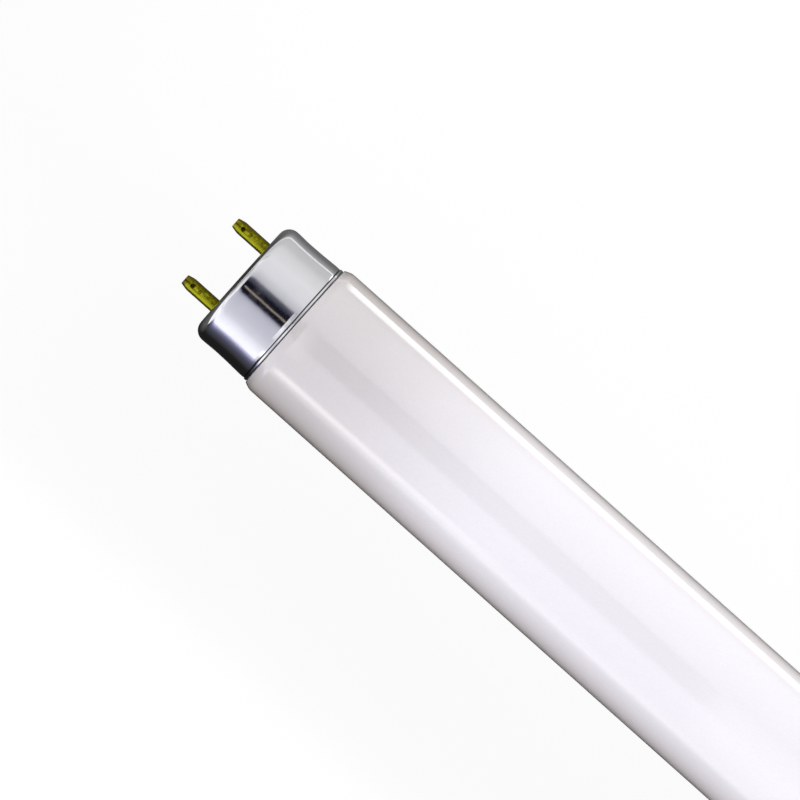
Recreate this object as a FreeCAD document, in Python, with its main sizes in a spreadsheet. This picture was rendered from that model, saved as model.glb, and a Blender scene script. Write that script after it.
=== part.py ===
import FreeCAD, Part
import os
import Sketcher

# A straight fluorescent lamp with a 26 mm tube and two-pin caps, in the 18 W length.
# The lamp lies along X with its middle at the origin. The two pins of an end lie side by side
# along Y, so the lamp is the same above and below.
# What belongs to an end is drawn in that end's own frame, where X runs from the cap's end face
# into the lamp. The right end is the left one turned half round about Z.

# The driving dimensions in millimetres: alias, size and what it measures.
SIZES = [
    ("face_to_face", 589.0, "from one cap's end face to the other's"),
    ("tube_diameter", 26.0, "outside of the glass tube"),
    ("glass_wall", 0.6, "wall of the glass tube"),
    ("shoulder_length", 1.5, "from the cap's rim to where the tube starts to close in"),
    ("shoulder_drop", 0.45, "fall of the glass over the gentle part of its shoulder"),
    ("shoulder_bend", 0.6, "radius where it turns down to the neck"),
    ("rim_gap", 0.15, "gap between the cap's rim and the glass inside it"),
    ("neck_round", 1.0, "radius at the foot of the shoulder"),
    ("neck_run", 0.4, "from the cap's rim to the foot of the shoulder"),
    ("glass_gap", 1.3, "from the insulator's back to the glass's sealed end"),
    ("seal_depth", 1.6, "depth of fused glass at the sealed end"),
    ("seal_land", 1.3, "width of the sealed end's ring"),
    ("flare_depth", 5.6, "length of the stem's flared mouth"),
    ("flare_round", 3.0, "radius where the flare meets the stem"),
    ("stem_bore", 8.4, "inside of the stem"),
    ("stem_wall", 0.8, "wall of the stem"),
    ("stem_depth", 19.6, "from the sealed end to the floor of the stem"),
    ("press_length", 7.0, "length of the pressed glass behind that floor"),
    ("press_thickness", 3.6, "thickness of the pressed glass between its flats"),
    ("press_lead", 1.2, "from the floor to the start of those flats"),
    ("press_round", 0.8, "radius round the end of the press"),
    ("exhaust_diameter", 3.4, "outside of the pumping tube"),
    ("exhaust_wall", 0.7, "wall of the pumping tube"),
    ("exhaust_setback", 5.6, "from the glass's sealed end to the pumping tube's melted tip"),
    ("exhaust_seal", 1.6, "thickness of glass at that tip"),
    ("cap_length", 12.2, "from the cap's end face to its rim"),
    ("cap_inset", 1.05, "from the tube's outside in to the cap's waist"),
    ("shell_wall", 0.3, "sheet that the cap is drawn from"),
    ("cap_corner", 2.1, "outside radius of the cap's drawn corner"),
    ("front_bulge", 0.09, "how far the band round the insulator stands out of the waist"),
    ("bead_slope", 1.2, "length over which that band runs down to the waist"),
    ("waist_width", 1.4, "width of the rolled waist"),
    ("skirt_flare", 0.2, "how far the skirt widens from the waist to the rim"),
    ("rim_flare", 0.1, "how far the rim stands out of the skirt"),
    ("rim_width", 0.75, "width of the rim"),
    ("rim_slope", 0.3, "width of its slope up from the skirt"),
    ("disc_depth", 2.8, "depth of the insulator at its edge and its bosses"),
    ("disc_web", 1.5, "thickness of the insulator between them"),
    ("disc_edge", 1.6, "width of the insulator's edge"),
    ("disc_gap", 0.03, "gap between the insulator's edge and the shell"),
    ("boss_wall", 1.5, "wall of the insulator's boss round a pin"),
    ("cement_wall", 0.85, "cement between the cap's waist and the neck"),
    ("cement_gap", 0.02, "gap between the cement and what it bonds"),
    ("cement_setback", 0.8, "from the foot of the shoulder to the cement"),
    ("pin_spacing", 12.7, "from the middle of one pin to the other's"),
    ("pin_diameter", 2.4, "outside of a pin"),
    ("pin_length", 6.8, "how far a pin stands out of the end face"),
    ("pin_wall", 0.55, "wall of a pin"),
    ("pin_neck", 0.2, "how much slimmer a pin is inside the insulator"),
    ("tip_inset", 0.31, "how far a pin's end is drawn in from its shank"),
    ("tip_taper", 1.3, "length of the taper at a pin's end"),
    ("taper_round", 2.5, "radius between the taper and the shank"),
    ("tip_round", 0.12, "radius on the edge of the flat end"),
    ("tip_depth", 0.9, "length of the narrower hollow at a pin's end"),
    ("collar_width", 0.4, "how far a pin's collar stands out of its shank"),
    ("rivet_width", 0.7, "how far a pin's riveted head stands out of its shank"),
    ("rivet_height", 0.5, "thickness of the riveted head"),
    ("rivet_round", 0.25, "radius round the riveted head"),
    ("crimp_length", 2.0, "length of the crimp mark's floor"),
    ("crimp_width", 0.6, "width of the crimp mark's floor"),
    ("crimp_depth", 0.28, "depth of the crimp mark"),
    ("crimp_setback", 1.5, "from a pin's end to its crimp mark"),
    ("punch_depth", 0.12, "how much deeper the punch's point went"),
    ("wire_diameter", 0.5, "outside of a lead wire"),
    ("wire_gap", 0.1, "gap round the wire in a pin's end"),
    ("wire_recess", 0.2, "from a pin's end in to its wire"),
    ("wire_run", 1.0, "straight wire behind a pin's riveted head"),
    ("wire_slope", 5.4, "length over which a wire closes in towards the stem"),
    ("wire_bend", 2.0, "radius of a wire's bends"),
]

# Places and sizes that pieces share, as formulas of the sheet's cells.
TUBE_RADIUS = "(Sizes.tube_diameter / 2)"
WAIST_RADIUS = f"({TUBE_RADIUS} - Sizes.cap_inset)"
FRONT_RADIUS = f"({WAIST_RADIUS} + Sizes.front_bulge)"
SKIRT_RADIUS = f"({WAIST_RADIUS} + Sizes.skirt_flare)"
RIM_RADIUS = f"({SKIRT_RADIUS} + Sizes.rim_flare)"
RIM_START = "(Sizes.cap_length - Sizes.rim_width)"
RIM_CREST = f"({RIM_START} + Sizes.rim_slope)"
DISC_BACK = "(Sizes.shell_wall + Sizes.disc_depth)"
WAIST_START = f"({DISC_BACK} + Sizes.bead_slope)"
WAIST_END = f"({WAIST_START} + Sizes.waist_width)"
INNER_CORNER = "(Sizes.cap_corner - Sizes.shell_wall)"
DISC_RADIUS = f"({FRONT_RADIUS} - Sizes.shell_wall - Sizes.disc_gap)"
PIN_RADIUS = "(Sizes.pin_diameter / 2)"
SEAT_RADIUS = f"({PIN_RADIUS} - Sizes.pin_neck)"
COLLAR_RADIUS = f"({PIN_RADIUS} + Sizes.collar_width)"
# The end face's opening lies midway between the pins' collars and the rounded corner.
OPENING_INNER = f"(Sizes.pin_spacing / 2 + {COLLAR_RADIUS})"
OPENING_OUTER = f"({FRONT_RADIUS} - Sizes.cap_corner)"
OPENING_RADIUS = f"(({OPENING_INNER} + {OPENING_OUTER}) / 2)"
RIVET_BACK = f"({DISC_BACK} + Sizes.rivet_height)"
CRIMP_FLOOR = f"({PIN_RADIUS} - Sizes.crimp_depth)"
NECK_RADIUS = f"({WAIST_RADIUS} - Sizes.shell_wall - Sizes.cement_wall)"
NECK_FOOT = "(Sizes.cap_length - Sizes.neck_run)"
GLASS_START = f"({DISC_BACK} + Sizes.glass_gap)"
STEM_RADIUS = "(Sizes.stem_bore / 2)"
EXHAUST_RADIUS = "(Sizes.exhaust_diameter / 2)"
STEM_FLOOR = f"({GLASS_START} + Sizes.stem_depth)"
PRESS_END = f"({STEM_FLOOR} + Sizes.press_length)"

SIDES = {"left": -1, "right": 1}
ROWS = {"front": -1, "back": 1}

# How far the sides of a crimp mark lean outwards, in degrees.
CRIMP_LEAN = 28
# Cuts at a pin's surface run out past it by this many depths of the crimp mark.
CUT_REACH = 2
# Rounds on short sides are a share of the side or the radius beside them.
SHOULDER_SHARE = 1.6
SEAL_SHARE = 0.4
TIP_SHARE = 0.8
RIM_SHARE = 0.5
MARK_SHARE = 0.9


def make_sheet(document):
    """The spreadsheet of driving dimensions, one aliased cell for each."""
    sheet = document.addObject("Spreadsheet::Sheet", "Sizes")
    for row, (alias, size, meaning) in enumerate(SIZES, 1):
        sheet.set(f"A{row}", meaning)
        sheet.set(f"B{row}", str(size))
        sheet.setAlias(f"B{row}", alias)
    document.recompute()


def new_body(document, label):
    """An empty body for one piece of the lamp."""
    body = document.addObject("PartDesign::Body", label)
    body.Label = label
    return body


def origin_plane(body, role):
    """One of the body's own origin planes."""
    return next(plane for plane in body.Origin.OriginFeatures if plane.Role == role)


def new_sketch(body, name, role, height=None):
    """An empty sketch on an origin plane, raised along its normal by a formula."""
    sketch = body.newObject("Sketcher::SketchObject", name)
    sketch.AttachmentSupport = [(origin_plane(body, role), "")]
    sketch.MapMode = "FlatFace"
    if height:
        sketch.setExpression("AttachmentOffset.Base.z", height)
    return sketch


def tie(sketch, kind, *where, formula):
    """A dimension of the sketch that follows a formula."""
    size = sketch.evalExpression(formula)
    number = sketch.addConstraint(Sketcher.Constraint(kind, *where, size))
    name = f"{kind}_{number}"
    sketch.renameConstraint(number, name)
    sketch.setExpression(f"Constraints.{name}", formula)


def hold(sketch, geometry, point, across, up):
    """Holds a point of the sketch at two formulas, where "0" puts it on an axis."""
    if across == "0":
        sketch.addConstraint(Sketcher.Constraint("PointOnObject", geometry, point, -2))
    else:
        tie(sketch, "DistanceX", -1, 1, geometry, point, formula=across)
    if up == "0":
        sketch.addConstraint(Sketcher.Constraint("PointOnObject", geometry, point, -1))
    else:
        tie(sketch, "DistanceY", -1, 1, geometry, point, formula=up)


def draw_line(sketch, corners, closed=True):
    """Straight sides through the corners, each (across, up) or (across, up, radius)."""
    count = len(corners)
    sides_count = count if closed else count - 1
    places = []
    for corner in corners:
        across, up = (sketch.evalExpression(formula) for formula in corner[:2])
        places.append(FreeCAD.Vector(across, up, 0))
    sides = []
    for number in range(sides_count):
        side = Part.LineSegment(places[number], places[(number + 1) % count])
        sides.append(sketch.addGeometry(side))
    for number, corner in enumerate(corners):
        across, up = corner[:2]
        if closed or 0 < number < sides_count:
            joint = Sketcher.Constraint("Coincident", sides[number - 1], 2, sides[number], 1)
            sketch.addConstraint(joint)
        if number < sides_count:
            hold(sketch, sides[number], 1, across, up)
        else:
            hold(sketch, sides[number - 1], 2, across, up)
    for number, corner in enumerate(corners):
        for radius in corner[2:]:
            before = (places[number - 1] + places[number]) / 2
            after = (places[number] + places[(number + 1) % count]) / 2
            size = sketch.evalExpression(radius)
            sketch.fillet(sides[number - 1], sides[number], before, after, size, True, True)
            arc = sketch.GeometryCount - 2
            tie(sketch, "Radius", arc, formula=radius)


def draw_circle(sketch, across, up, radius):
    """A circle whose middle and radius follow formulas."""
    middle = FreeCAD.Vector(sketch.evalExpression(across), sketch.evalExpression(up), 0)
    size = sketch.evalExpression(radius)
    circle = sketch.addGeometry(Part.Circle(middle, FreeCAD.Vector(0, 0, 1), size))
    hold(sketch, circle, 3, across, up)
    tie(sketch, "Radius", circle, formula=radius)


def turn_outline(body, name, corners):
    """A solid turned about X from an outline given as (along X, radius)."""
    sketch = new_sketch(body, f"{name}_outline", "XZ_Plane")
    draw_line(sketch, corners)
    turned = body.newObject("PartDesign::Revolution", name)
    turned.Profile = sketch
    turned.ReferenceAxis = (sketch, ["H_Axis"])
    turned.Angle = 360
    return turned


def cut_pocket(body, name, sketch, depth=None, reverse=False):
    """A pocket from the sketch, to a depth given by a formula or right through."""
    before = body.Tip.Shape.Volume
    pocket = body.newObject("PartDesign::Pocket", name)
    pocket.Profile = sketch
    pocket.Reversed = reverse
    if depth:
        pocket.setExpression("Length", depth)
    else:
        pocket.Type = "ThroughAll"
    body.Document.recompute()
    if not pocket.Shape.Volume < before:
        raise RuntimeError(f"{name} cuts nothing")
    return pocket


def mirror_features(body, name, features, role):
    """The features again, on the other side of an origin plane."""
    mirrored = body.newObject("PartDesign::Mirrored", name)
    mirrored.Originals = features
    mirrored.MirrorPlane = (origin_plane(body, role), [""])
    body.Tip = mirrored
    return mirrored


def put_at_end(body, side, row=None):
    """Places a piece that is drawn in an end's frame, on the pin of a row where one is given."""
    turn = FreeCAD.Rotation(FreeCAD.Vector(0, 0, 1), 180 if side == "right" else 0)
    if row and SIDES[side] * ROWS[row] > 0:
        # The piece of the other row faces it across the lamp's axis.
        turn = turn * FreeCAD.Rotation(FreeCAD.Vector(1, 0, 0), 180)
    body.Placement = FreeCAD.Placement(FreeCAD.Vector(), turn)
    body.setExpression("Placement.Base.x", f"{SIDES[side]} * Sizes.face_to_face / 2")
    if row:
        body.setExpression("Placement.Base.y", f"{ROWS[row]} * Sizes.pin_spacing / 2")


def skirt_inside(along):
    """The shell's inside radius between its waist and its rim, at a distance from the end face."""
    share = f"({along} - {WAIST_END}) / ({RIM_START} - {WAIST_END})"
    return f"({WAIST_RADIUS} - Sizes.shell_wall + Sizes.skirt_flare * {share})"


def make_glass_tube(document):
    """The sealed bulb: one wall of glass that closes in at each end and turns back as a stem.

    Half of it is turned from the outline of its wall, and the other half is its mirror image.
    """
    body = new_body(document, "glass_tube")

    def at(along):
        return f"({along} - Sizes.face_to_face / 2)"

    # The steep part of the shoulder passes just inside the cap's rim.
    under_rim = f"({RIM_RADIUS} - Sizes.shell_wall - Sizes.rim_gap)"
    steepness = f"(({under_rim} - {NECK_RADIUS}) / Sizes.neck_run)"
    bend_radius = f"({TUBE_RADIUS} - Sizes.shoulder_drop)"
    bend = f"(Sizes.cap_length + ({bend_radius} - {under_rim}) / {steepness})"
    closing = "(Sizes.cap_length + Sizes.shoulder_length)"
    # The round at the start takes up most of the gentle part.
    gentle_run = f"({closing} - {bend})"
    gentle_round = f"({SHOULDER_SHARE} * {gentle_run} * {gentle_run} / Sizes.shoulder_drop)"
    seal_back = f"({GLASS_START} + Sizes.seal_depth)"
    seal_inside = f"({NECK_RADIUS} - Sizes.seal_land)"
    seal_round = f"(Sizes.seal_land * {SEAL_SHARE})"
    flare_foot = f"({GLASS_START} + Sizes.flare_depth)"
    stem_outside = f"({STEM_RADIUS} + Sizes.stem_wall)"
    exhaust_bore = f"({EXHAUST_RADIUS} - Sizes.exhaust_wall)"
    exhaust_tip = f"({GLASS_START} + Sizes.exhaust_setback)"
    exhaust_round = f"({EXHAUST_RADIUS} * {TIP_SHARE})"
    exhaust_hollow = f"({exhaust_tip} + Sizes.exhaust_seal)"
    # Inside a bend of the wall, the corner lies half a wall further into the lamp.
    half_wall = "Sizes.glass_wall / 2"
    outside = [
        ("0", TUBE_RADIUS),
        (at(closing), TUBE_RADIUS, gentle_round),
        (at(bend), bend_radius, "Sizes.shoulder_bend"),
        (at(NECK_FOOT), NECK_RADIUS, "Sizes.neck_round"),
        (at(GLASS_START), NECK_RADIUS, seal_round),
        (at(GLASS_START), seal_inside, seal_round),
        (at(flare_foot), STEM_RADIUS, "Sizes.flare_round"),
        (at(STEM_FLOOR), STEM_RADIUS),
        (at(STEM_FLOOR), EXHAUST_RADIUS),
        (at(exhaust_tip), EXHAUST_RADIUS, exhaust_round),
        (at(exhaust_tip), "0"),
    ]
    inside = [
        (at(exhaust_hollow), "0"),
        (at(exhaust_hollow), exhaust_bore),
        (at(PRESS_END), exhaust_bore),
        (at(PRESS_END), stem_outside, "Sizes.press_round"),
        (at(f"{flare_foot} + Sizes.stem_wall"), stem_outside, "Sizes.flare_round"),
        (at(seal_back), f"({NECK_RADIUS} - Sizes.glass_wall)", seal_round),
        (at(f"{NECK_FOOT} + {half_wall}"), f"({NECK_RADIUS} - Sizes.glass_wall)"),
        (at(f"{bend} + {half_wall}"), f"({bend_radius} - Sizes.glass_wall)"),
        (at(closing), f"({TUBE_RADIUS} - Sizes.glass_wall)"),
        ("0", f"({TUBE_RADIUS} - Sizes.glass_wall)"),
    ]
    wall = turn_outline(body, "glass_wall", outside + inside)
    document.recompute()

    # The end of the stem is pinched flat while it is hot, above and below.
    flats = new_sketch(body, "press_flats", "XY_Plane", "Sizes.press_thickness / 2")
    flat_start = at(f"{STEM_FLOOR} + Sizes.press_lead")
    flat_end = at(f"{PRESS_END} + Sizes.press_lead")
    draw_line(flats, [
        (flat_start, f"-{stem_outside} - Sizes.press_lead"),
        (flat_end, f"-{stem_outside} - Sizes.press_lead"),
        (flat_end, f"{stem_outside} + Sizes.press_lead"),
        (flat_start, f"{stem_outside} + Sizes.press_lead"),
    ])
    upper = cut_pocket(body, "press_flat", flats, f"{stem_outside} - Sizes.press_thickness / 2", True)
    mirror_features(body, "lower_flat", [upper], "XY_Plane")
    document.recompute()
    mirror_features(body, "right_half", [wall, upper], "YZ_Plane")
    return body


def make_cap_shell(document, side):
    """A cup drawn from thin aluminium: rounded corner, rolled waist, widening skirt and rim.

    The waist is rolled in behind the insulator and keeps it in the cup.
    """
    body = new_body(document, f"cap_shell_{side}")
    rim_round = f"(Sizes.shell_wall * {RIM_SHARE})"
    turn_outline(body, f"drawn_cup_{side}", [
        ("0", OPENING_RADIUS),
        ("0", FRONT_RADIUS, "Sizes.cap_corner"),
        (DISC_BACK, FRONT_RADIUS),
        (WAIST_START, WAIST_RADIUS),
        (WAIST_END, WAIST_RADIUS),
        (RIM_START, SKIRT_RADIUS),
        (RIM_CREST, RIM_RADIUS),
        ("Sizes.cap_length", RIM_RADIUS, rim_round),
        ("Sizes.cap_length", f"({RIM_RADIUS} - Sizes.shell_wall)"),
        (RIM_CREST, f"({RIM_RADIUS} - Sizes.shell_wall)"),
        (RIM_START, f"({SKIRT_RADIUS} - Sizes.shell_wall)"),
        (WAIST_END, f"({WAIST_RADIUS} - Sizes.shell_wall)"),
        (WAIST_START, f"({WAIST_RADIUS} - Sizes.shell_wall)"),
        (DISC_BACK, f"({FRONT_RADIUS} - Sizes.shell_wall)"),
        ("Sizes.shell_wall", f"({FRONT_RADIUS} - Sizes.shell_wall)", INNER_CORNER),
        ("Sizes.shell_wall", OPENING_RADIUS),
    ])
    put_at_end(body, side)
    return body


def make_insulator(document, side):
    """A moulded disc behind the cap's end face, hollowed from the back round two bosses."""
    body = new_body(document, f"insulator_{side}")
    turn_outline(body, f"disc_{side}", [
        ("Sizes.shell_wall", "0"),
        ("Sizes.shell_wall", DISC_RADIUS, f"({INNER_CORNER} - Sizes.disc_gap)"),
        (DISC_BACK, DISC_RADIUS),
        (DISC_BACK, "0"),
    ])
    document.recompute()
    pins = ["-Sizes.pin_spacing / 2", "Sizes.pin_spacing / 2"]

    hollow = new_sketch(body, f"hollow_outline_{side}", "YZ_Plane", DISC_BACK)
    draw_circle(hollow, "0", "0", f"({DISC_RADIUS} - Sizes.disc_edge)")
    cut_pocket(body, f"hollow_{side}", hollow, "Sizes.disc_depth - Sizes.disc_web")

    bosses = new_sketch(body, f"boss_outlines_{side}", "YZ_Plane", "Sizes.shell_wall + Sizes.disc_web")
    for pin in pins:
        draw_circle(bosses, pin, "0", f"({SEAT_RADIUS} + Sizes.boss_wall)")
    raised = body.newObject("PartDesign::Pad", f"bosses_{side}")
    raised.Profile = bosses
    raised.setExpression("Length", "Sizes.disc_depth - Sizes.disc_web")
    document.recompute()

    holes = new_sketch(body, f"hole_outlines_{side}", "YZ_Plane", DISC_BACK)
    for pin in pins:
        draw_circle(holes, pin, "0", SEAT_RADIUS)
    cut_pocket(body, f"pin_holes_{side}", holes)
    put_at_end(body, side)
    return body


def make_cement_ring(document, side):
    """The cement that fills the cap's skirt round the neck of the glass."""
    body = new_body(document, f"cement_ring_{side}")
    cement_end = f"({NECK_FOOT} - Sizes.cement_setback)"
    turn_outline(body, f"cement_{side}", [
        (WAIST_END, f"({NECK_RADIUS} + Sizes.cement_gap)"),
        (WAIST_END, f"({skirt_inside(WAIST_END)} - Sizes.cement_gap)"),
        (cement_end, f"({skirt_inside(cement_end)} - Sizes.cement_gap)"),
        (cement_end, f"({NECK_RADIUS} + Sizes.cement_gap)"),
    ])
    put_at_end(body, side)
    return body


def make_pin(document, side, row):
    """A hollow brass pin, riveted in the insulator and crimped on the wire inside it.

    Its collar meets the insulator's front, and a slimmer neck runs through to the riveted head.
    """
    body = new_body(document, f"pin_{side}_{row}")
    end = f"{side}_{row}"
    tip = "-Sizes.pin_length"
    tip_bore = "(Sizes.wire_diameter / 2 + Sizes.wire_gap)"
    head_radius = f"({PIN_RADIUS} + Sizes.rivet_width)"
    bore = f"({PIN_RADIUS} - Sizes.pin_wall)"
    bore_start = "(Sizes.tip_depth - Sizes.pin_length)"
    turn_outline(body, f"shank_{end}", [
        (tip, tip_bore),
        (tip, f"({PIN_RADIUS} - Sizes.tip_inset)", "Sizes.tip_round"),
        ("(Sizes.tip_taper - Sizes.pin_length)", PIN_RADIUS, "Sizes.taper_round"),
        ("0", PIN_RADIUS),
        ("0", COLLAR_RADIUS),
        ("Sizes.shell_wall", COLLAR_RADIUS),
        ("Sizes.shell_wall", SEAT_RADIUS),
        (DISC_BACK, SEAT_RADIUS),
        (DISC_BACK, head_radius),
        (RIVET_BACK, head_radius, "Sizes.rivet_round"),
        (RIVET_BACK, bore, "Sizes.rivet_round"),
        (bore_start, bore),
        (bore_start, tip_bore),
    ])
    document.recompute()

    # The crimping tool leaves an oblong mark above and below, deepest at its point.
    mark = new_sketch(body, f"crimp_outline_{end}", "XY_Plane", CRIMP_FLOOR)
    near = "(Sizes.crimp_setback - Sizes.pin_length)"
    far = f"({near} + Sizes.crimp_length)"
    half = "(Sizes.crimp_width / 2)"
    corner = f"({half} * {MARK_SHARE})"
    reach = f"({CUT_REACH} * Sizes.crimp_depth)"
    draw_line(mark, [
        (near, f"-{half}", corner),
        (far, f"-{half}", corner),
        (far, half, corner),
        (near, half, corner),
    ])
    crimp = cut_pocket(body, f"crimp_{end}", mark, reach, True)
    crimp.TaperAngle = CRIMP_LEAN

    point = new_sketch(body, f"punch_outline_{end}", "XY_Plane", f"{CRIMP_FLOOR} - Sizes.punch_depth")
    draw_circle(point, f"({near} + {half})", "0", half)
    punch = cut_pocket(body, f"punch_{end}", point, reach, True)
    mirror_features(body, f"lower_mark_{end}", [crimp, punch], "XY_Plane")
    put_at_end(body, side, row)
    return body


def make_lead_wire(document, side, row):
    """A wire from the pin's end, back through the pin and across to the stem's floor."""
    body = new_body(document, f"lead_wire_{side}_{row}")
    end = f"{side}_{row}"
    start = "(Sizes.wire_recess - Sizes.pin_length)"
    first_bend = f"({RIVET_BACK} + Sizes.wire_run)"
    last_bend = f"({first_bend} + Sizes.wire_slope)"
    # In the stem the wire runs midway between the pumping tube and the stem's wall.
    shift = f"(({EXHAUST_RADIUS} + {STEM_RADIUS}) / 2 - Sizes.pin_spacing / 2)"
    route = new_sketch(body, f"wire_route_{end}", "XY_Plane")
    draw_line(route, [
        (start, "0"),
        (first_bend, "0", "Sizes.wire_bend"),
        (last_bend, shift, "Sizes.wire_bend"),
        (STEM_FLOOR, shift),
    ], closed=False)
    section = new_sketch(body, f"wire_section_{end}", "YZ_Plane", start)
    draw_circle(section, "0", "0", "Sizes.wire_diameter / 2")
    document.recompute()
    wire = body.newObject("PartDesign::AdditivePipe", f"wire_{end}")
    wire.Profile = section
    wire.Spine = (route, [f"Edge{number + 1}" for number in range(len(route.Shape.Edges))])
    put_at_end(body, side, row)
    return body


def check_document(document, bodies):
    """Stops if any object has failed or any piece isn't one sound solid."""
    for item in document.Objects:
        if "Invalid" in item.State or "Error" in item.State:
            raise RuntimeError(f"{item.Name} has failed: {item.State}")
        if item.isDerivedFrom("Sketcher::SketchObject") and not item.FullyConstrained:
            raise RuntimeError(f"{item.Name} isn't fully held")
    for body in bodies:
        shape = body.Shape
        if shape.isNull() or not shape.isValid() or len(shape.Solids) != 1:
            raise RuntimeError(f"{body.Label} isn't one sound solid")


def main():
    document = FreeCAD.newDocument("fluorescent_tube")
    make_sheet(document)
    bodies = [make_glass_tube(document)]
    for side in SIDES:
        bodies.append(make_cap_shell(document, side))
        bodies.append(make_insulator(document, side))
        bodies.append(make_cement_ring(document, side))
        for row in ROWS:
            bodies.append(make_pin(document, side, row))
            bodies.append(make_lead_wire(document, side, row))
    document.recompute()
    check_document(document, bodies)
    os.makedirs("parts", exist_ok=True)
    for body in bodies:
        body.Shape.exportStep(f"parts/{body.Label}.step")
        print(f"{body.Label}: {body.Shape.Volume:.2f} mm3")


main()
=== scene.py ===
from math import ceil, cos, pi, radians, sin, tan

import bpy
import numpy as np
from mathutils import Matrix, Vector


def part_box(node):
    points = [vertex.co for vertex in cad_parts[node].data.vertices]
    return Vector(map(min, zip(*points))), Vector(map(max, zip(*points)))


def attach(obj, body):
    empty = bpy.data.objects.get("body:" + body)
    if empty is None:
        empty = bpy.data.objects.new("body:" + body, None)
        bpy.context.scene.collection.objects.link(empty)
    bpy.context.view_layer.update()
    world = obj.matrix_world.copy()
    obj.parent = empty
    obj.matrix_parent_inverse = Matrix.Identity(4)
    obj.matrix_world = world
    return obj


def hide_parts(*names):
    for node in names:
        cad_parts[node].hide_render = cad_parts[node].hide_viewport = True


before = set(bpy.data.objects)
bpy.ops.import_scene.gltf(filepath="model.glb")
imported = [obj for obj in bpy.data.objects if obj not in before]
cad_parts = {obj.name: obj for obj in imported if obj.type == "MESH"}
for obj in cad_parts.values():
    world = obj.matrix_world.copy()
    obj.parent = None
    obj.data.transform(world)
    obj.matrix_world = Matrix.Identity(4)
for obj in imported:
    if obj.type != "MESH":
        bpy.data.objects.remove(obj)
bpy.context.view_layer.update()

# The glass bulb is drawn tube, 26 mm across with a wall of 0.6 mm. Each end is rolled in hot to a
# shoulder and a neck, fused to the stem inside it, and pumped out through the thin tube of the stem.
# A white powder coats it inside, so it looks like glossy white enamel, with painted shade that greys it
# towards its ends.
MM = 0.001
ENDS = {"left": -1, "right": 1}
FACE = -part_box("cap_shell_left")[0].x
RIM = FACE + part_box("cap_shell_left")[1].x
TUBE_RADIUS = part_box("glass_tube")[1].z
SHOULDER = 1.3 * MM
SHOULDER_EDGE = 0.05 * MM
SHOULDER_FALL = 0.52 * MM
NECK_FOOT = 0.1 * MM
NECK_RADIUS = 10.8 * MM
SEALED_END = 4.4 * MM
SEAL_LAND = 1.3 * MM
FLARE_FOOT = 10.0 * MM
STEM_RADIUS = 4.2 * MM
STEM_FLOOR = 24.0 * MM
PUMP_RADIUS = 1.7 * MM
PUMP_TIP = 10.0 * MM
GLASS_STEP = 8 * MM
ARC_STEP = radians(6)
SIDES = 256

# The outside of one end, from the melted tip of its pumping tube to the straight glass: rows of
# (distance from the cap's end face, radius, rounding).
BULB_END = [
    (PUMP_TIP, 0.0, 0.0),
    (PUMP_TIP, PUMP_RADIUS, 1.3 * MM),
    (STEM_FLOOR, PUMP_RADIUS, 0.3 * MM),
    (STEM_FLOOR, STEM_RADIUS, 0.3 * MM),
    (FLARE_FOOT, STEM_RADIUS, 3.0 * MM),
    (SEALED_END, NECK_RADIUS - SEAL_LAND, 0.5 * MM),
    (SEALED_END, NECK_RADIUS, 0.5 * MM),
    (RIM - NECK_FOOT, NECK_RADIUS, 0.4 * MM),
    (RIM + SHOULDER_EDGE, TUBE_RADIUS - SHOULDER_FALL, 0.3 * MM),
    (RIM + SHOULDER, TUBE_RADIUS, 2.5 * MM),
]


def side_of(start, end):
    """The unit direction from one corner to the next."""
    way = end - start
    return way / np.hypot(*way)


def rounded(corners, closed, step=ARC_STEP):
    """An outline with rounded corners, as rows of (along, radius, normal along, normal radius).

    Each corner (along, radius, round) becomes an arc that touches both of its sides: its middle lies
    on the line that halves the corner, at round / cos(turn / 2), and its points are spread evenly
    over the turn. Outwards is to the left of the way along the outline.
    """
    spots = np.array([corner[:2] for corner in corners], float)
    rows = []
    for number, (along, radius, size) in enumerate(corners):
        here = spots[number]
        if not closed and number in (0, len(corners) - 1):
            way = side_of(here, spots[1]) if number == 0 else side_of(spots[number - 1], here)
            rows.append([[along, radius, -way[1], way[0]]])
            continue
        back = side_of(here, spots[number - 1])
        ahead = side_of(here, spots[(number + 1) % len(spots)])
        turn = pi - np.arccos(np.clip(back @ ahead, -1, 1))
        halving = side_of(np.zeros(2), back + ahead)
        middle = here + halving * size / cos(turn / 2)
        first = (here + back * size * tan(turn / 2) - middle) / size
        last = (here + ahead * size * tan(turn / 2) - middle) / size
        share = np.linspace(0, 1, max(3, ceil(turn / step) + 1))[:, None]
        spoke = (np.sin((1 - share) * turn) * first + np.sin(share * turn) * last) / sin(turn)
        bulges = 1 if back[0] * ahead[1] - back[1] * ahead[0] > 0 else -1
        rows.append(np.hstack([middle + size * spoke, bulges * spoke]))
    return np.vstack(rows)


def divided(outline, step, closed):
    """The outline with more points on its straight sides, no further apart than the step.

    Each side is cut into as many equal parts as its length holds steps, rounded up. The step is one
    length for all the sides, or an array with a length for each.
    """
    if closed:
        outline = np.vstack([outline, outline[:1]])
    length = np.append(0, np.cumsum(np.hypot(*np.diff(outline[:, :2], axis=0).T)))
    counts = np.maximum(1, np.ceil(np.diff(length) / step)).astype(int)
    places = np.repeat(length[:-1], counts)
    shares = np.concatenate([np.arange(count) / count for count in counts])
    places = places + shares * np.repeat(np.diff(length), counts)
    if not closed:
        places = np.append(places, length[-1])
    return np.stack([np.interp(places, length, column) for column in outline.T], axis=1)


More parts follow.
